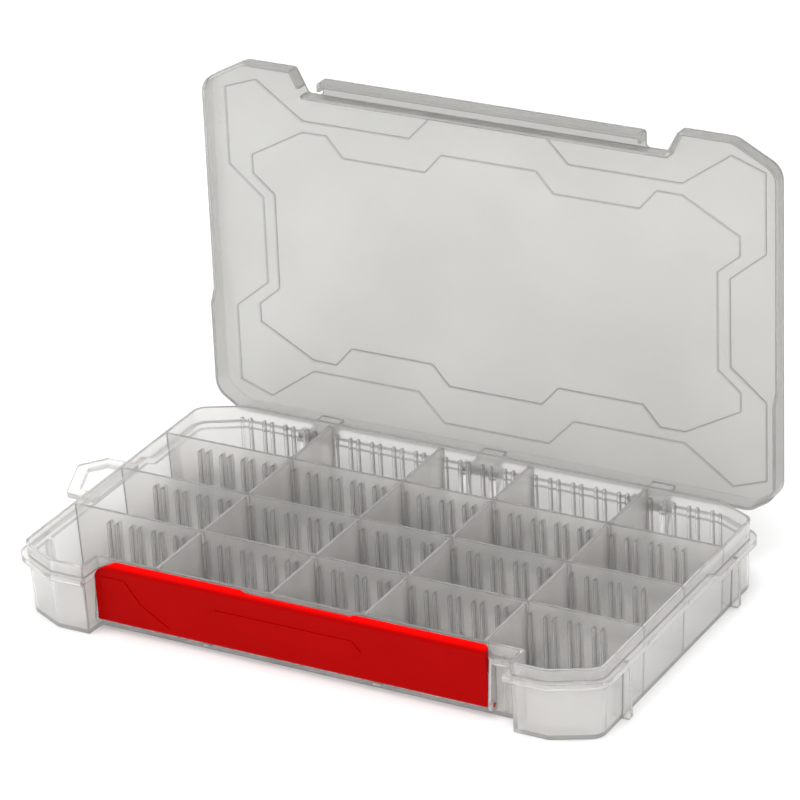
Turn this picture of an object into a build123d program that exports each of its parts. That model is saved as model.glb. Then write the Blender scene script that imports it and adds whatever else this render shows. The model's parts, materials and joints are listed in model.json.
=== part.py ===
"""Fishing tackle box: an open utility tray with a hinged lid, a front latch and lift-out dividers.

Frame: millimetres, +Z up, origin on the table under the middle of the tray.
The latch faces -Y, the lid is hinged along the +Y side and stands open.
"""
import os
from math import cos, radians, sin

from build123d import *

os.makedirs("parts", exist_ok=True)

# ---- tray ------------------------------------------------------------------------------------
rim_width = 349.0          # outside of the rim, left to right
rim_depth = 208.0          # outside of the rim, front to back
height = 41.3              # table to rim
wall = 1.8                 # outer walls
base_thickness = 1.8       # floor of the tray
side_draft = 1.9           # how far the outer walls come in from the rim to the table
corner_x = 25.0            # cut-off corners, along X
corner_y = 13.0            # cut-off corners, along Y
corner_round = 9.0         # rounding of the two edges of each cut-off corner
lobe_width = 46.0          # front corner lobes, either side of the latch recess
lobe_lean = 1.0            # the lobes' inner sides lean towards the recess by this much
lobe_round = 5.0           # upright front edges of the recess
recess_depth = 14.0        # how far the front steps back between the lobes
recess_round = 2.5         # inside corners of the recess

flange_drop = 6.4          # rim to the top of the flange that the lid sits on
flange_thick = 3.7
flange_reach = 3.4
step_in = 70.0             # the flange drops to its rear level this far in front of the rear wall
step_run = 8.0
step_drop = 3.9

foot_rib_in = 38.0         # ribs outside the left and right walls, in from the rim's front and rear
foot_rib_width = 2.4
foot_rib_round = 2.0

loop_out = (19.5, 31.0, 18.0)        # outer corners of the hang loop, out from the rim
loop_y = (26.0, 26.0, 11.5, -21.0, -21.0)
loop_band = 7.0            # width of the band around the hole
loop_thick = 3.0
loop_round = 4.0

# ---- divider ribs and dividers ---------------------------------------------------------------
long_wall = 1.6            # fixed walls that run left to right
row_count = 4
slot_pitch = 14.1
slot_gap = 3.6             # between the two ribs of a pair
slot_end_margin = 18.0     # no ribs this close to a side wall
recess_end_margin = 4.0    # nor this close to a side of the front recess
rib_width = 1.5
rib_reach = 2.2
rib_drop = 6.5             # rim to the top of the ribs
divider_slots = {"left": -6.5, "centre_left": -1.5, "centre_right": 2.5, "right": 7.5}
divider_thick = 1.8
bead_fit = 0.25            # free space between a divider's thick end and each rib
bead_length = 1.9
divider_fit = 0.3          # free space at each end of a divider
divider_drop = 0.6         # rim to the top of a divider
divider_lift = 0.2         # free space under a divider

# ---- lid -------------------------------------------------------------------------------------
lid_wall = 1.8
lid_panel = 1.8
lid_gap_side = 0.3         # skirt to rim at the sides, the rear and the recess
lid_gap_front = 0.6        # skirt to rim at the front of the lobes
lid_gap_top = 0.8          # rim to the underside of the lid panel
lid_seat_gap = 0.3         # skirt to flange
lid_edge_round = 1.4
lid_corner = (26.5, 14.0)  # cut-off front corners of the lid, along X and Y
lid_rear_corner = (15.0, 10.0)
lid_corner_round = 12.0
notch_round = 2.0
lobe_gap = 10.0            # the lid's lobes begin this far inside the tray's recess, at the front
notch_gap = 17.5           # and this far at the notch floor
ledge_gap_left = 26.6      # ends of the catch ledge, in from the sides of the recess
ledge_gap_right = 31.8
ledge_reach = 11.9         # ledge in front of the tray's recess wall
ledge_lip = 1.5            # lip inside the ledge that the latch hooks over
ledge_lip_height = 1.4
relief_gap = 0.2           # slot in the lid for the upper part of the latch: free space in front of it
relief_end_gap = 0.8       # and at its ends
emboss = 0.8               # height of the pattern on the lid
pattern_y = 2.5            # middle of the pattern
pattern_margin = 10.6      # lid edge to the pattern
open_angle = 91.0

# ---- hinge -----------------------------------------------------------------------------------
hinge_out = 7.0            # hinge axis behind the rear wall
hinge_drop = 14.5          # hinge axis below the rim
hinge_in = 69.5            # outer hinges, in from the rim's sides
barrel_r = 3.7
pin_r = 1.5
pin_fit = 0.06             # running clearance of the knuckle on its pin
pin_inset = 0.2            # pin ends inside the ears
ear_width = 4.0
ear_foot = 10.0            # gusset under the barrel, down the rear wall
knuckle_width = 14.0
knuckle_gap = 0.4
arm_thick = 3.0            # arm from the lid's rear skirt down to the knuckle

# ---- latch -----------------------------------------------------------------------------------
latch_gap_left = 1.8       # ends of the latch, in from the sides of the recess
latch_gap_right = 18.3
latch_round_r = 2.1        # rounded lower edge, centred on the pivot
latch_pivot_out = 2.7      # pivot axis in front of the recess wall
latch_pivot_z = 7.2
latch_rise = 0.5           # top of the latch above the rim
latch_shell = 1.7
latch_lean = 0.9           # the front face leans out by this much up to its bevel
latch_bevel_drop = 4.6     # top of the latch down to the lower edge of the bevel
latch_nose = 1.5           # how far the bevel comes back
latch_nose_drop = 0.8      # top of the latch down to the upper edge of the bevel
latch_band = 15.5          # height of the deeper upper part
latch_lip_height = 5.0     # solid lip above the pockets
latch_pocket_count = 11
latch_rib = 1.5
latch_lid_gap = 0.3        # back of the latch to the closed lid
latch_end_gap = 0.5
latch_plate = 2.0          # plates at both ends of the latch that carry its trunnions
latch_plate_r = 3.4
trunnion_r = 1.5
trunnion_fit = 0.06
latch_corner = [(0.0, -8.5), (2.0, -5.0), (12.0, 0.0)]   # cut-off left corner, from the upper left end
latch_corner_round = 2.5   # right corner
latch_pad_height = 0.4     # raised finger pad and end panel on the front face
latch_pad = [(-47.8, 17.5), (-42.8, 9.0), (39.2, 9.0), (44.2, 15.0), (39.2, 20.5), (-43.8, 20.5)]
latch_panel = [(4.7, 2.5), (44.7, 2.5), (27.7, 13.6), (18.7, 26.0), (4.7, 26.0)]
latch_dip = [(-29.8, 0.5), (-25.8, -1.3), (37.2, -1.3), (41.2, 0.5)]   # finger dip in the top edge
clip_offset = (-51.7, 52.3)   # mid supports that cup the latch's lower edge, from its middle
clip_width = 5.0
clip_gap = 0.3
clip_thick = 1.4
overlap = 0.4              # how deep features run into the wall that carries them

# ---- worked-out sizes ------------------------------------------------------------------------
half_w = rim_width / 2
half_d = rim_depth / 2
recess_half = half_w - lobe_width
big = rim_width + rim_depth
recess_y = -half_d + recess_depth
inner_front = recess_y + wall
inner_rear = half_d - wall
row_clear = (inner_rear - inner_front - (row_count - 1) * long_wall) / row_count
row_pitch = row_clear + long_wall
wall_ys = [inner_front + row_pitch * i - long_wall / 2 for i in range(1, row_count)]
rib_top = height - rib_drop
flange_top = height - flange_drop
flange_bottom = flange_top - flange_thick
step_y = half_d - step_in
foot_rib_y = half_d - foot_rib_in
hinge_x = {"left": hinge_in - half_w, "centre": 0.0, "right": half_w - hinge_in}
hinge_y = half_d + hinge_out
hinge_z = height - hinge_drop
panel_under = height + lid_gap_top
panel_top = panel_under + lid_panel
lid_x = half_w + lid_gap_side + lid_wall
lid_rear = half_d + lid_gap_side + lid_wall
lid_front = -half_d - lid_gap_front - lid_wall
notch_y = recess_y - lid_gap_side - lid_wall
ledge_y = recess_y - ledge_reach
lobe_start = recess_half - lobe_gap
notch_start = recess_half - notch_gap
ledge_left = ledge_gap_left - recess_half
ledge_right = recess_half - ledge_gap_right
latch_left = latch_gap_left - recess_half
latch_right = recess_half - latch_gap_right
latch_pivot_y = recess_y - latch_pivot_out
latch_foot_y = latch_pivot_y - latch_round_r
latch_face_y = latch_foot_y - latch_lean
latch_back_y = notch_y - latch_lid_gap
relief_y = latch_face_y - latch_pad_height - relief_gap
latch_top = height + latch_rise
latch_length = latch_right - latch_left
latch_mid = (latch_left + latch_right) / 2

# Right-hand rear quarter of the raised pattern: the outer outline, then the inner one.
pattern_x = lid_x - pattern_margin
pattern_rear = lid_rear - pattern_y - pattern_margin
pattern_outer = [(33.0, pattern_rear), (49.0, pattern_rear - 16.5), (pattern_x - 49.0, pattern_rear - 16.5),
                 (pattern_x - 20.0, pattern_rear + 4.0), (pattern_x, pattern_rear - 3.0),
                 (pattern_x, 43.5), (pattern_x - 21.2, 26.0)]
pattern_inner = [(29.2, pattern_rear - 23.3), (39.7, pattern_rear - 35.0),
                 (pattern_x - 74.4, pattern_rear - 35.0), (pattern_x - 64.0, pattern_rear - 23.1),
                 (pattern_x - 48.8, pattern_rear - 23.3), (pattern_x - 15.2, pattern_rear - 41.7),
                 (pattern_x - 15.2, 40.0), (pattern_x - 28.6, 28.8)]


def tray_outline(side, front, rear, recess, corner):
    """Outline of the tray, moved in by the given amounts, as a face in the current sketch."""
    x = half_w - side
    y0 = -half_d + front
    y1 = half_d - rear
    lobe_x = recess_half + recess
    cut_x = corner_x - side / 2
    cut_y = corner_y - side / 2
    right = [(lobe_x - lobe_lean, recess_y + recess), (lobe_x, y0), (x - cut_x, y0)]
    right += [(x, y0 + cut_y), (x, y1 - cut_y), (x - cut_x, y1)]
    left = [(-px, py) for px, py in reversed(right)]
    Polygon(*right, *left, align=None)
    inner_corners = vertices().filter_by(lambda v: abs(v.X) < lobe_x - lobe_lean / 2)
    lobe_edges = vertices().filter_by(lambda v: abs(abs(v.X) - lobe_x) < lobe_lean / 2)
    cut_corners = vertices().filter_by(lambda v: abs(v.X) > lobe_x + lobe_lean)
    fillet(cut_corners, corner)
    fillet(lobe_edges, lobe_round)
    fillet(inner_corners, recess_round)


def slots_within(half_length):
    """Slot positions, as half multiples of the pitch, that fit within +/- half_length."""
    count = int(half_length / slot_pitch + 0.5)
    return [(k + 0.5) * slot_pitch for k in range(-count, count)]


def rib_row(slots, y, toward):
    """Pairs of ribs that stand on the face at y and reach out in the given direction."""
    rib_offset = (slot_gap + rib_width) / 2
    with Locations(*[(s + o, y + toward * (rib_reach - overlap) / 2) for s in slots
                     for o in (-rib_offset, rib_offset)]):
        Rectangle(rib_width, rib_reach + overlap)


def long_walls():
    with Locations(*[(0, y) for y in wall_ys]):
        Rectangle(rim_width, long_wall)


# ---- inside of the tray, less the fixed walls and ribs ---------------------------------------
wall_slots = slots_within(half_w - wall - slot_end_margin)
recess_slots = slots_within(recess_half - lobe_lean - recess_end_margin)

with BuildPart() as cavity:
    with BuildSketch(Plane.XY.offset(base_thickness)):
        tray_outline(side_draft + wall, side_draft + wall, wall, wall, corner_round - wall)
    with BuildSketch(Plane.XY.offset(height)):
        tray_outline(wall, wall, wall, wall, corner_round - wall)
    loft(ruled=True)
    with BuildSketch(Plane.XY.offset(base_thickness)):
        long_walls()
        rib_row(recess_slots, inner_front, 1)
        rib_row(wall_slots, inner_rear, -1)
        for wall_y in wall_ys:
            rib_row(wall_slots, wall_y + long_wall / 2, 1)
            rib_row(wall_slots, wall_y - long_wall / 2, -1)
    extrude(amount=rib_top - base_thickness, mode=Mode.SUBTRACT)
    with BuildSketch(Plane.XY.offset(rib_top)):
        long_walls()
    extrude(amount=rib_drop, mode=Mode.SUBTRACT)

# ---- flange around the tray, lower towards the rear ------------------------------------------
with BuildPart() as flange:
    with BuildSketch(Plane.YZ.offset(-half_w - flange_reach)):
        top_line = [(-big, flange_top), (step_y, flange_top), (step_y + step_run, flange_top - step_drop),
                    (big, flange_top - step_drop)]
        bottom_line = [(y, z - flange_thick) for y, z in reversed(top_line)]
        with BuildLine():
            Polyline(*top_line, *bottom_line, close=True)
        make_face()
    extrude(amount=2 * (half_w + flange_reach))
    with BuildSketch():
        tray_outline(-flange_reach, -flange_reach, -flange_reach, -flange_reach,
                     corner_round + flange_reach)
    extrude(amount=height, mode=Mode.INTERSECT)
    with BuildSketch():
        with Locations((latch_mid, recess_y)):
            Rectangle(latch_length + 2 * latch_end_gap, big, align=(Align.CENTER, Align.MAX))
        with Locations(*[(x, half_d) for x in hinge_x.values()]):
            Rectangle(knuckle_width + 2 * knuckle_gap, big, align=(Align.CENTER, Align.MIN))
    extrude(amount=height, mode=Mode.SUBTRACT)

# ---- tray ------------------------------------------------------------------------------------
plate_right = latch_right + latch_end_gap
plate_left = latch_left - latch_end_gap
ear_step = knuckle_width / 2 + knuckle_gap
pin_half = ear_step + ear_width - pin_inset

with BuildPart() as base_tray:
    with BuildSketch():
        tray_outline(side_draft, side_draft, 0, 0, corner_round)
    with BuildSketch(Plane.XY.offset(height)):
        tray_outline(0, 0, 0, 0, corner_round)
    loft(ruled=True)
    add(flange.part)

    # foot ribs down the outside of the left and right walls
    for rib_y in (-foot_rib_y, foot_rib_y):
        with BuildSketch(Plane.XZ.offset(-rib_y - foot_rib_width / 2)):
            Rectangle(2 * (half_w + flange_reach), flange_bottom, align=(Align.CENTER, Align.MIN))
            fillet(vertices().group_by(Axis.Y)[0], foot_rib_round)
        extrude(amount=foot_rib_width)

    # hang loop on the left
    with BuildSketch(Plane.XY.offset(flange_top - (flange_thick + loop_thick) / 2)):
        rim_x = -half_w + wall / 2
        out_x = [rim_x] + [-half_w - out for out in loop_out] + [rim_x]
        with BuildLine():
            Polyline(*zip(out_x, loop_y), close=True)
        make_face()
        hole = offset(amount=-loop_band, kind=Kind.INTERSECTION, mode=Mode.PRIVATE)
        fillet(vertices().filter_by(lambda v: v.X < -half_w), loop_round)
        add(hole, mode=Mode.SUBTRACT)
    extrude(amount=loop_thick)

    # hinge ears behind the rear wall
    for station_x in hinge_x.values():
        for ear_x in (station_x - ear_step - ear_width, station_x + ear_step):
            with BuildSketch(Plane.YZ.offset(ear_x)):
                with BuildLine():
                    Polyline((half_d - overlap, hinge_z + barrel_r), (hinge_y, hinge_z + barrel_r),
                             (hinge_y, hinge_z - barrel_r),
                             (half_d - overlap, hinge_z - barrel_r - ear_foot), close=True)
                make_face()
                with Locations((hinge_y, hinge_z)):
                    Circle(barrel_r)
            extrude(amount=ear_width)

    # end plates that carry the latch; the left one runs into the lobe
    for plate_x, plate_thick in ((plate_right, latch_plate),
                                 (plate_left - 2 * latch_plate, 2 * latch_plate)):
        with BuildSketch(Plane.YZ.offset(plate_x)):
            with BuildLine():
                Polyline((recess_y + overlap, flange_bottom + overlap),
                         (recess_y - flange_reach, flange_bottom + overlap),
                         (latch_pivot_y - latch_plate_r, latch_pivot_z),
                         (latch_pivot_y, latch_pivot_z - latch_plate_r),
                         (recess_y + overlap, latch_pivot_z - latch_plate_r), close=True)
            make_face()
            with Locations((latch_pivot_y, latch_pivot_z)):
                Circle(latch_plate_r)
        extrude(amount=plate_thick)

    # cups behind and under the lower edge of the latch
    cup_r = latch_round_r + clip_gap
    for offset_x in clip_offset:
        with BuildSketch(Plane.YZ.offset(latch_mid + offset_x - clip_width / 2)):
            with Locations((recess_y + overlap, latch_pivot_z - cup_r - clip_thick)):
                Rectangle(latch_pivot_out + overlap + cup_r / 2, 2 * cup_r + clip_thick,
                          align=(Align.MAX, Align.MIN))
            with Locations((latch_pivot_y, latch_pivot_z)):
                Circle(cup_r, mode=Mode.SUBTRACT)
                Rectangle(big, height, align=(Align.MAX, Align.MIN), mode=Mode.SUBTRACT)
                Rectangle(big, 2 * cup_r, align=(Align.MAX, Align.CENTER), mode=Mode.SUBTRACT)
        extrude(amount=clip_width)

    add(cavity.part, mode=Mode.SUBTRACT)

    # bores for the hinge pins and for the latch's trunnions
    for station_x in hinge_x.values():
        with BuildSketch(Plane.YZ.offset(station_x - pin_half)):
            with Locations((hinge_y, hinge_z)):
                Circle(pin_r)
        extrude(amount=2 * pin_half, mode=Mode.SUBTRACT)
    with BuildSketch(Plane.YZ.offset(plate_left - latch_plate)):
        with Locations((latch_pivot_y, latch_pivot_z)):
            Circle(trunnion_r + trunnion_fit)
    extrude(amount=plate_right - plate_left + 2 * latch_plate, mode=Mode.SUBTRACT)

base_tray.part.label = "base_tray"
export_step(base_tray.part, "parts/base_tray.step")

# ---- hinge pins ------------------------------------------------------------------------------
for name, station_x in hinge_x.items():
    with BuildPart() as hinge_pin:
        with BuildSketch(Plane.YZ.offset(station_x - pin_half)):
            with Locations((hinge_y, hinge_z)):
                Circle(pin_r)
        extrude(amount=2 * pin_half)
    hinge_pin.part.label = f"hinge_pin_{name}"
    export_step(hinge_pin.part, f"parts/{hinge_pin.part.label}.step")

# ---- dividers, four in each row --------------------------------------------------------------
for row in range(row_count):
    row_y = inner_front + row_clear / 2 + row * row_pitch
    for name, slot in divider_slots.items():
        with BuildPart() as divider:
            with BuildSketch(Plane.XY.offset(base_thickness + divider_lift)):
                with Locations((slot * slot_pitch, row_y)):
                    Rectangle(divider_thick, row_clear - 2 * divider_fit)
                    with Locations((0, row_clear / 2 - divider_fit), (0, -row_clear / 2 + divider_fit)):
                        Rectangle(slot_gap - 2 * bead_fit, 2 * bead_length)
                    Rectangle(big, row_clear - 2 * divider_fit, mode=Mode.INTERSECT)
            extrude(amount=height - divider_drop - base_thickness - divider_lift)
        divider.part.label = f"divider_{row + 1}_{name}"
        export_step(divider.part, f"parts/{divider.part.label}.step")

# ---- lid, drawn as if closed on planes that stand open about the hinge ------------------------
opened = Location((0, hinge_y, hinge_z), (-open_angle, 0, 0)) * Location((0, -hinge_y, -hinge_z))
lid_up = Axis((0, 0, 0), (0, sin(radians(open_angle)), cos(radians(open_angle))))


def lid_level(z):
    """Plane across the lid at height z, counted with the lid closed."""
    return Plane(opened * Location((0, 0, z)))


def lid_section(x):
    """Upright plane through the lid at x, with the closed lid's Y and Z as its own axes."""
    return Plane(opened * Plane.YZ.offset(x).location)


def lid_outline():
    """Sharp outline of the lid with its two lobes and the catch ledge between the notches."""
    right = [(notch_start, notch_y), (lobe_start, lid_front)]
    right += [(lid_x - lid_corner[0], lid_front), (lid_x, lid_front + lid_corner[1])]
    right += [(lid_x, lid_rear - lid_rear_corner[1]), (lid_x - lid_rear_corner[0], lid_rear)]
    left = [(-px, py) for px, py in reversed(right)]
    ledge = [(ledge_left, notch_y), (ledge_left, ledge_y), (ledge_right, ledge_y), (ledge_right, notch_y)]
    Polygon(*right, *left, *ledge, align=None)


def mirrored_polygon(quarter, mode=Mode.ADD):
    """Polygon from the corners of its quarter with positive X and Y, mirrored left and front."""
    right = quarter + [(px, -py) for px, py in reversed(quarter)]
    left = [(-px, py) for px, py in reversed(right)]
    Polygon(*right, *left, align=None, mode=mode)


skirt_top = flange_top + lid_seat_gap
with BuildPart() as lid:
    with BuildSketch(lid_level(flange_bottom)):
        lid_outline()
        fillet(vertices().filter_by(lambda v: abs(v.X) > lobe_start + notch_round), lid_corner_round)
        fillet(vertices().filter_by(lambda v: abs(v.X) < lobe_start + notch_round / 2), notch_round)
    extrude(amount=panel_top - flange_bottom)
    fillet(lid.faces().sort_by(lid_up)[-1].edges(), lid_edge_round)

    # hollow inside, with a wall along the recess that closes the catch ledge's channel
    with BuildSketch(lid_level(flange_bottom)):
        lid_outline()
        offset(amount=-lid_wall, kind=Kind.INTERSECTION, mode=Mode.REPLACE)
        outer_corners = vertices().filter_by(lambda v: abs(v.X) > lobe_start + 2 * lid_wall)
        fillet(outer_corners, lid_corner_round - lid_wall)
        with Locations((0, notch_y)):
            Rectangle(2 * notch_start, lid_wall, align=(Align.CENTER, Align.MIN), mode=Mode.SUBTRACT)
    extrude(amount=panel_under - flange_bottom, mode=Mode.SUBTRACT)

    # lip along the lower edge of the ledge
    with BuildSketch(lid_level(skirt_top)):
        with Locations(((ledge_left + ledge_right) / 2, ledge_y + lid_wall / 2)):
            Rectangle(ledge_right - ledge_left - lid_wall, lid_wall / 2 + ledge_lip,
                      align=(Align.CENTER, Align.MIN))
    extrude(amount=ledge_lip_height)

    # lower edge of the skirt follows the flange
    with BuildSketch(lid_section(-lid_x)):
        with BuildLine():
            Polyline((-big, skirt_top), (step_y, skirt_top), (step_y + step_run, skirt_top - step_drop),
                     (big, skirt_top - step_drop), (big, -big), (-big, -big), close=True)
        make_face()
    extrude(amount=2 * lid_x, mode=Mode.SUBTRACT)

    # slot for the upper part of the latch, which is longer than the ledge
    with BuildSketch(lid_level(flange_bottom)):
        with Locations((latch_mid, notch_y)):
            Rectangle(latch_length + 2 * relief_end_gap, notch_y - relief_y, align=(Align.CENTER, Align.MAX))
    extrude(amount=panel_under - flange_bottom, mode=Mode.SUBTRACT)

    # raised angular pattern on the outside
    with BuildSketch(lid_level(panel_top)):
        with Locations((0, pattern_y)):
            mirrored_polygon(pattern_outer)
            mirrored_polygon(pattern_inner, mode=Mode.SUBTRACT)
    extrude(amount=emboss)

    # knuckles on the rear skirt
    for station_x in hinge_x.values():
        with BuildSketch(lid_section(station_x - knuckle_width / 2)):
            with BuildLine():
                Polyline((lid_rear - overlap, height), (lid_rear - overlap + arm_thick, height),
                         (hinge_y + barrel_r, hinge_z), (hinge_y - barrel_r, hinge_z),
                         (hinge_y - barrel_r, skirt_top - step_drop),
                         (lid_rear - overlap, skirt_top - step_drop), close=True)
            make_face()
            with Locations((hinge_y, hinge_z)):
                Circle(barrel_r)
                Circle(pin_r + pin_fit, mode=Mode.SUBTRACT)
        extrude(amount=knuckle_width)

lid.part.label = "lid"
export_step(lid.part, "parts/lid.step")

# ---- latch -----------------------------------------------------------------------------------
face_height = latch_top - latch_bevel_drop - latch_pivot_z
pocket_top = latch_top - latch_lip_height
pocket_bottom = latch_top - latch_band + latch_rib
pocket_pitch = (latch_length - latch_rib) / latch_pocket_count
front_face = Plane((0, latch_foot_y, latch_pivot_z), (1, 0, 0), (0, -face_height, -latch_lean))

with BuildPart() as latch:
    with BuildSketch(Plane.YZ.offset(latch_left)):
        with BuildLine():
            Polyline((latch_foot_y, latch_pivot_z), (latch_face_y, latch_top - latch_bevel_drop),
                     (latch_face_y + latch_nose, latch_top - latch_nose_drop), (latch_back_y, latch_top),
                     (latch_back_y, latch_top - latch_band),
                     (latch_face_y + latch_shell, latch_top - latch_band),
                     (latch_foot_y + latch_shell, latch_pivot_z), close=True)
        make_face()
        with Locations((latch_pivot_y, latch_pivot_z)):
            Circle(latch_round_r)
    extrude(amount=latch_length)

    # outline seen from the front, with a cut-off left corner and a rounded right one
    with BuildSketch(Plane.XZ):
        with BuildLine():
            Polyline((latch_left, 0), *[(latch_left + px, latch_top + pz) for px, pz in latch_corner],
                     (latch_right, latch_top), (latch_right, 0), close=True)
        make_face()
        fillet(vertices().sort_by(Axis.X)[-2:].sort_by(Axis.Y)[-1], latch_corner_round)
    extrude(amount=big, mode=Mode.INTERSECT)

    # pockets between the ribs behind the upper part
    with BuildSketch(Plane.XZ.offset(-latch_back_y)):
        with Locations((latch_mid, (pocket_top + pocket_bottom) / 2)):
            with GridLocations(pocket_pitch, 0, latch_pocket_count, 1):
                Rectangle(pocket_pitch - latch_rib, pocket_top - pocket_bottom)
    extrude(amount=latch_back_y - latch_face_y - latch_shell, mode=Mode.SUBTRACT)

    # finger dip in the top edge, then the raised pad and end panel on the front
    with BuildSketch(Plane.XZ):
        Polygon(*[(latch_mid + px, latch_top + pz) for px, pz in latch_dip], align=None)
    extrude(amount=big, mode=Mode.SUBTRACT)
    with BuildSketch(front_face.offset(-overlap)):
        Polygon(*[(latch_mid + px, pz) for px, pz in latch_pad], align=None)
        Polygon(*[(latch_left + px, pz) for px, pz in latch_panel], align=None)
    extrude(amount=overlap + latch_pad_height)

    # trunnions at both ends
    with BuildSketch(Plane.YZ.offset(plate_left - latch_plate + pin_inset)):
        with Locations((latch_pivot_y, latch_pivot_z)):
            Circle(trunnion_r)
    extrude(amount=plate_right - plate_left + 2 * (latch_plate - pin_inset))

latch.part.label = "latch"
export_step(latch.part, "parts/latch.step")
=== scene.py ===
"""Fishing tackle box: materials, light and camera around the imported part. Metres, the part's own frame."""

from math import cos, radians, sin

import bpy
from mathutils import Matrix, Vector
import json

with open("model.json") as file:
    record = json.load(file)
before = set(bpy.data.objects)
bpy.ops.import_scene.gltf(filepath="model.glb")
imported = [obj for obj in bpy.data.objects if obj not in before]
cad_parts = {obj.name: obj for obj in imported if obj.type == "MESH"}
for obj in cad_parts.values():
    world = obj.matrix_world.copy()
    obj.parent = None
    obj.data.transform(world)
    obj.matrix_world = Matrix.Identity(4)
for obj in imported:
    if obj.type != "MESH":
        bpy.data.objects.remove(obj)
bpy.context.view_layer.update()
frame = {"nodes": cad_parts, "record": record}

# ---- camera ----------------------------------------------------------------------------------
CAMERA_AZIMUTH = radians(30.02)
CAMERA_ELEVATION = radians(25.47)
CAMERA_ROLL = radians(-2.91)
CAMERA_DISTANCE = 2.3682
CAMERA_AIM = (0.0, 0.00865, 0.0413)     # point on the rim that the view is measured from
CAMERA_RIGHT = 0.00294                  # how far the view's centre lies right of and above that point
CAMERA_UP = 0.06644
LENS = 197.35
SENSOR = 36.0

# ---- floor and light -------------------------------------------------------------------------
FLOOR_HALF = 6.0
FLOOR_DROP = 0.0004                     # free space under the box, so that the floor doesn't flicker
FLOOR_COLOUR = (0.93, 0.93, 0.93, 1)
FLOOR_ROUGHNESS = 0.9
WORLD_STRENGTH = 0.85
LIGHT_AIM = (0.0, 0.0, 0.05)
LIGHTS = [                              # name, place, size, power
    ("top_light", (0.1, -0.1, 1.5), (1.2, 1.0), 12),
    ("left_light", (-1.3, -0.9, 0.8), (0.9, 0.9), 7),
    ("front_light", (0.9, -1.4, 0.6), (0.8, 0.5), 10),
]

# ---- frosted plastics ------------------------------------------------------------------------
PLASTIC_IOR = 1.49
CLOUD_SCALE = 14.0                      # faint clouding inside the plastic
SKIN_SCALE = 2600.0                     # fine frosted skin
SKIN_STRENGTH = 0.12
SKIN_DEPTH = 0.0002
EDGE_SHADE_SAMPLES = 6
EDGE_SHADE_TURN = (0.80, 0.99)                # cosines between which an edge counts as fully and not at all, for the painted edge shade
# edge radius and depth give the painted shade at each plastic's moulded edges
PLASTICS = {
    "tray_plastic": dict(name="tray_frosted", low=(0.90, 0.89, 0.875), high=(0.945, 0.935, 0.92),
                         clarity=0.84, roughness=0.20, edge_shade_radius=0.0009, edge_shade_depth=0.30),
    "lid_plastic": dict(name="lid_frosted", low=(0.58, 0.575, 0.555), high=(0.63, 0.625, 0.605),
                        clarity=0.85, roughness=0.26, edge_shade_radius=0.0006, edge_shade_depth=0.35, lines=True),
    "divider_plastic": dict(name="divider_frosted", low=(0.90, 0.885, 0.865), high=(0.95, 0.935, 0.915),
                            clarity=0.80, roughness=0.24, edge_shade_radius=0.0008, edge_shade_depth=0.35),
}

# ---- red latch, with a painted highlight on its upper edge; heights upwards from the table ---
# between these heights the red turns brighter, a painted highlight on the upper edge
LATCH_HIGHLIGHT_FROM = 0.0385
LATCH_HIGHLIGHT_TO = 0.0410
LATCH_LOW = (0.32, 0.0, 0.0)
LATCH_HIGHLIGHT_RED = (0.82, 0.0, 0.0)
LATCH_ROUGHNESS = 0.36
LATCH_SPECULAR = 0.03

# ---- steel pins ------------------------------------------------------------------------------
PIN_STREAKS = 900.0
PIN_LOW = (0.42, 0.42, 0.43)
PIN_HIGH = (0.6, 0.6, 0.61)
PIN_ROUGHNESS = 0.35

# ---- painted shade along the moulded lines on the lid, as the part has them: quarter outlines about the lid's middle ---
HINGE = (0.0, 0.111, 0.0268)
LID_ANGLE = radians(-91.0)
LINE_MIDDLE = 0.1085                    # from the hinge axis to the middle of the pattern
LINE_WIDTH = 0.00035                    # half the width of a line, and as much again to fade out
# grey of the painted shade along the lines
LINE_SHADE_TONE = 0.72
OUTER_LINE = [(0.0, 0.093), (0.033, 0.093), (0.049, 0.0765), (0.117, 0.0765), (0.146, 0.097),
              (0.166, 0.090), (0.166, 0.0435), (0.1448, 0.026), (0.1448, 0.0)]
INNER_LINE = [(0.0, 0.0697), (0.0292, 0.0697), (0.0397, 0.058), (0.0916, 0.058), (0.102, 0.0699),
              (0.1172, 0.0697), (0.1508, 0.0513), (0.1508, 0.040), (0.1374, 0.0288), (0.1374, 0.0)]


def make_camera():
    a, e = CAMERA_AZIMUTH, CAMERA_ELEVATION
    back = Vector((sin(a) * cos(e), -cos(a) * cos(e), sin(e)))
    level = Vector((cos(a), sin(a), 0.0))
    upright = back.cross(level)
    right = cos(CAMERA_ROLL) * level + sin(CAMERA_ROLL) * upright
    up = -sin(CAMERA_ROLL) * level + cos(CAMERA_ROLL) * upright
    place = Vector(CAMERA_AIM) + back * CAMERA_DISTANCE + right * CAMERA_RIGHT + up * CAMERA_UP
    data = bpy.data.cameras.new("camera")
    data.lens = LENS
    data.sensor_width = SENSOR
    data.clip_end = 20.0
    camera = bpy.data.objects.new("camera", data)
    turn = Matrix((right, up, back)).transposed().to_4x4()
    camera.matrix_world = Matrix.Translation(place) @ turn
    bpy.context.collection.objects.link(camera)
    bpy.context.scene.camera = camera


def make_floor():
    mesh = bpy.data.meshes.new("floor")
    signs = [(-1, -1), (1, -1), (1, 1), (-1, 1)]
    corners = [(FLOOR_HALF * x, FLOOR_HALF * y, -FLOOR_DROP) for x, y in signs]
    mesh.from_pydata(corners, [], [(0, 1, 2, 3)])
    floor = bpy.data.objects.new("floor", mesh)
    bpy.context.collection.objects.link(floor)
    material = bpy.data.materials.new("floor")
    material.use_nodes = True
    shader = material.node_tree.nodes["Principled BSDF"]
    shader.inputs["Base Color"].default_value = FLOOR_COLOUR
    shader.inputs["Roughness"].default_value = FLOOR_ROUGHNESS
    mesh.materials.append(material)


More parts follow.
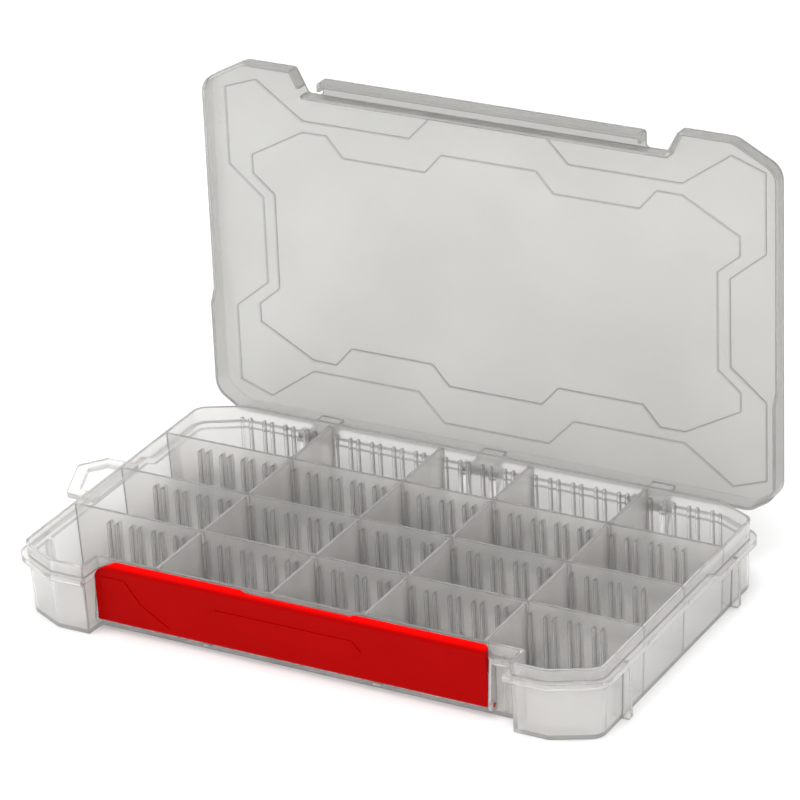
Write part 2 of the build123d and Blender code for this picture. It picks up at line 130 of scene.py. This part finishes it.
def area_light(name, place, size, power):
    data = bpy.data.lights.new(name, "AREA")
    data.shape = "RECTANGLE"
    data.size, data.size_y = size
    data.energy = power
    light = bpy.data.objects.new(name, data)
    light.location = place
    light.rotation_euler = (Vector(LIGHT_AIM) - Vector(place)).to_track_quat("-Z", "Y").to_euler()
    bpy.context.collection.objects.link(light)


def make_light():
    world = bpy.data.worlds.new("studio")
    world.use_nodes = True
    world.node_tree.nodes["Background"].inputs["Color"].default_value = (1, 1, 1, 1)
    world.node_tree.nodes["Background"].inputs["Strength"].default_value = WORLD_STRENGTH
    bpy.context.scene.world = world
    for light in LIGHTS:
        area_light(*light)
    bpy.context.scene.view_settings.view_transform = "Standard"


# ---- materials -------------------------------------------------------------------------------
def new_material(name):
    material = bpy.data.materials.new(name)
    material.use_nodes = True
    nodes = material.node_tree.nodes
    return material, nodes, material.node_tree.links, nodes["Principled BSDF"]


def noise(nodes, links, scale, detail):
    """Noise in the object's own coordinates, in cells of 1/scale metres."""
    where = nodes.new("ShaderNodeTexCoord")
    texture = nodes.new("ShaderNodeTexNoise")
    texture.inputs["Scale"].default_value = scale
    texture.inputs["Detail"].default_value = detail
    links.new(where.outputs["Object"], texture.inputs["Vector"])
    return texture


def ramp(nodes, links, source, low, high, start=0.3, end=0.7):
    node = nodes.new("ShaderNodeValToRGB")
    node.color_ramp.elements[0].position = start
    node.color_ramp.elements[1].position = end
    node.color_ramp.elements[0].color = (*low, 1)
    node.color_ramp.elements[1].color = (*high, 1)
    links.new(source, node.inputs["Fac"])
    return node


def bump(nodes, links, source, shader, strength, distance):
    node = nodes.new("ShaderNodeBump")
    node.inputs["Strength"].default_value = strength
    node.inputs["Distance"].default_value = distance
    links.new(source, node.inputs["Height"])
    links.new(node.outputs["Normal"], shader.inputs["Normal"])


def painted_edge_shade(nodes, links, radius, shade_depth):
    """Painted edge shade: grey that is white on flat faces and darker within the radius of a moulded edge.
    """
    rounded = nodes.new("ShaderNodeBevel")
    rounded.samples = EDGE_SHADE_SAMPLES
    rounded.inputs["Radius"].default_value = radius
    flat = nodes.new("ShaderNodeNewGeometry")
    turn = nodes.new("ShaderNodeVectorMath")
    turn.operation = "DOT_PRODUCT"
    links.new(rounded.outputs["Normal"], turn.inputs[0])
    links.new(flat.outputs["True Normal"], turn.inputs[1])
    size = nodes.new("ShaderNodeMath")
    size.operation = "ABSOLUTE"
    links.new(turn.outputs["Value"], size.inputs[0])
    return ramp(nodes, links, size.outputs["Value"], (shade_depth, shade_depth, shade_depth), (1, 1, 1), *EDGE_SHADE_TURN)


def vector_math(nodes, links, operation, first, second):
    """Vector node whose inputs are either sockets or plain vectors."""
    node = nodes.new("ShaderNodeVectorMath")
    node.operation = operation
    for slot, value in enumerate((first, second)):
        if isinstance(value, (tuple, list, Vector)):
            node.inputs[slot].default_value = value
        else:
            links.new(value, node.inputs[slot])
    return node


def painted_line_shade(nodes, links):
    """Painted shade: grey that is darker along the lid's moulded lines, worked out as distance to each
    stretch.
    """
    where = nodes.new("ShaderNodeTexCoord")
    local = vector_math(nodes, links, "SUBTRACT", where.outputs["Object"], HINGE)
    along = (0.0, cos(LID_ANGLE), sin(LID_ANGLE))
    rise = vector_math(nodes, links, "DOT_PRODUCT", local.outputs["Vector"], along)
    shift = nodes.new("ShaderNodeMath")
    shift.operation = "ADD"
    shift.inputs[1].default_value = LINE_MIDDLE
    links.new(rise.outputs["Value"], shift.inputs[0])
    axes = nodes.new("ShaderNodeSeparateXYZ")
    links.new(local.outputs["Vector"], axes.inputs["Vector"])
    flat = nodes.new("ShaderNodeCombineXYZ")
    links.new(axes.outputs["X"], flat.inputs["X"])
    links.new(shift.outputs["Value"], flat.inputs["Y"])
    quarter = nodes.new("ShaderNodeVectorMath")
    quarter.operation = "ABSOLUTE"
    links.new(flat.outputs["Vector"], quarter.inputs[0])
    nearest = None
    for outline in (OUTER_LINE, INNER_LINE):
        for start, end in zip(outline, outline[1:]):
            origin = Vector((*start, 0.0))
            run = Vector((*end, 0.0)) - origin
            offset = vector_math(nodes, links, "SUBTRACT", quarter.outputs["Vector"], origin)
            share = vector_math(nodes, links, "DOT_PRODUCT", offset.outputs["Vector"],
                                run / run.length_squared)
            held = nodes.new("ShaderNodeMath")
            held.operation = "ADD"
            held.use_clamp = True
            held.inputs[1].default_value = 0.0
            links.new(share.outputs["Value"], held.inputs[0])
            foot = nodes.new("ShaderNodeVectorMath")
            foot.operation = "SCALE"
            foot.inputs[0].default_value = run
            links.new(held.outputs["Value"], foot.inputs["Scale"])
            gap = vector_math(nodes, links, "DISTANCE", offset.outputs["Vector"], foot.outputs["Vector"])
            if nearest is None:
                nearest = gap.outputs["Value"]
                continue
            least = nodes.new("ShaderNodeMath")
            least.operation = "MINIMUM"
            links.new(nearest, least.inputs[0])
            links.new(gap.outputs["Value"], least.inputs[1])
            nearest = least.outputs["Value"]
    fade = nodes.new("ShaderNodeMapRange")
    fade.inputs["From Min"].default_value = LINE_WIDTH
    fade.inputs["From Max"].default_value = 2 * LINE_WIDTH
    links.new(nearest, fade.inputs["Value"])
    dark = (LINE_SHADE_TONE, LINE_SHADE_TONE, LINE_SHADE_TONE)
    return ramp(nodes, links, fade.outputs["Result"], dark, (1, 1, 1), 0.0, 1.0)


def multiplied(nodes, links, first, second):
    both = nodes.new("ShaderNodeMix")
    both.data_type = "RGBA"
    both.blend_type = "MULTIPLY"
    both.inputs["Factor"].default_value = 1.0
    links.new(first, both.inputs["A"])
    links.new(second, both.inputs["B"])
    return both.outputs["Result"]


def frosted_plastic(name, low, high, clarity, roughness, edge_shade_radius, edge_shade_depth, lines=False):
    """Milky see-through moulded plastic: faint clouding, a fine frosted skin, painted shade along the
    moulded edges.
    """
    material, nodes, links, shader = new_material(name)
    cloud = noise(nodes, links, CLOUD_SCALE, 2.0)
    tint = ramp(nodes, links, cloud.outputs["Fac"], low, high)
    # painted shade at the moulded edges
    edge_shade = painted_edge_shade(nodes, links, edge_shade_radius, edge_shade_depth)
    tone = multiplied(nodes, links, tint.outputs["Color"], edge_shade.outputs["Color"])
    # painted shade along the lid's moulded lines
    if lines:
        tone = multiplied(nodes, links, tone, painted_line_shade(nodes, links).outputs["Color"])
    links.new(tone, shader.inputs["Base Color"])
    skin = noise(nodes, links, SKIN_SCALE, 2.0)
    bump(nodes, links, skin.outputs["Fac"], shader, SKIN_STRENGTH, SKIN_DEPTH)
    shader.inputs["Transmission Weight"].default_value = clarity
    shader.inputs["Roughness"].default_value = roughness
    shader.inputs["IOR"].default_value = PLASTIC_IOR
    return material


def red_plastic():
    """Red plastic with a painted highlight: brighter towards its thin upper edge."""
    material, nodes, links, shader = new_material("latch_red")
    where = nodes.new("ShaderNodeTexCoord")
    axes = nodes.new("ShaderNodeSeparateXYZ")
    links.new(where.outputs["Object"], axes.inputs["Vector"])
    rise = nodes.new("ShaderNodeMapRange")
    rise.inputs["From Min"].default_value = LATCH_HIGHLIGHT_FROM
    rise.inputs["From Max"].default_value = LATCH_HIGHLIGHT_TO
    links.new(axes.outputs["Z"], rise.inputs["Value"])
    # painted highlight: brighter red towards the upper edge
    painted_highlight = ramp(nodes, links, rise.outputs["Result"], LATCH_LOW, LATCH_HIGHLIGHT_RED, 0.0, 1.0)
    cloud = noise(nodes, links, 30.0, 3.0)
    tint = ramp(nodes, links, cloud.outputs["Fac"], (0.94, 0.94, 0.94), (1.0, 1.0, 1.0))
    tone = multiplied(nodes, links, painted_highlight.outputs["Color"], tint.outputs["Color"])
    links.new(tone, shader.inputs["Base Color"])
    skin = noise(nodes, links, 1800.0, 2.0)
    bump(nodes, links, skin.outputs["Fac"], shader, 0.06, SKIN_DEPTH)
    shader.inputs["Roughness"].default_value = LATCH_ROUGHNESS
    shader.inputs["Specular IOR Level"].default_value = LATCH_SPECULAR
    return material


def brushed_pin():
    material, nodes, links, shader = new_material("pin_steel")
    streak = noise(nodes, links, PIN_STREAKS, 4.0)
    tint = ramp(nodes, links, streak.outputs["Fac"], PIN_LOW, PIN_HIGH)
    links.new(tint.outputs["Color"], shader.inputs["Base Color"])
    shader.inputs["Metallic"].default_value = 1.0
    shader.inputs["Roughness"].default_value = PIN_ROUGHNESS
    return material


def dress_nodes():
    """Gives each CAD node its material, by the record's material slots."""
    looks = {slot: frosted_plastic(**look) for slot, look in PLASTICS.items()}
    looks["latch_plastic"] = red_plastic()
    looks["pin_steel"] = brushed_pin()
    for part in frame["record"]["subparts"]:
        node = frame["nodes"][part["node"]]
        if not node.material_slots:
            node.data.materials.append(None)
        for holder in node.material_slots:
            holder.material = looks[part["material_slot"]]


make_camera()
make_floor()
make_light()
dress_nodes()
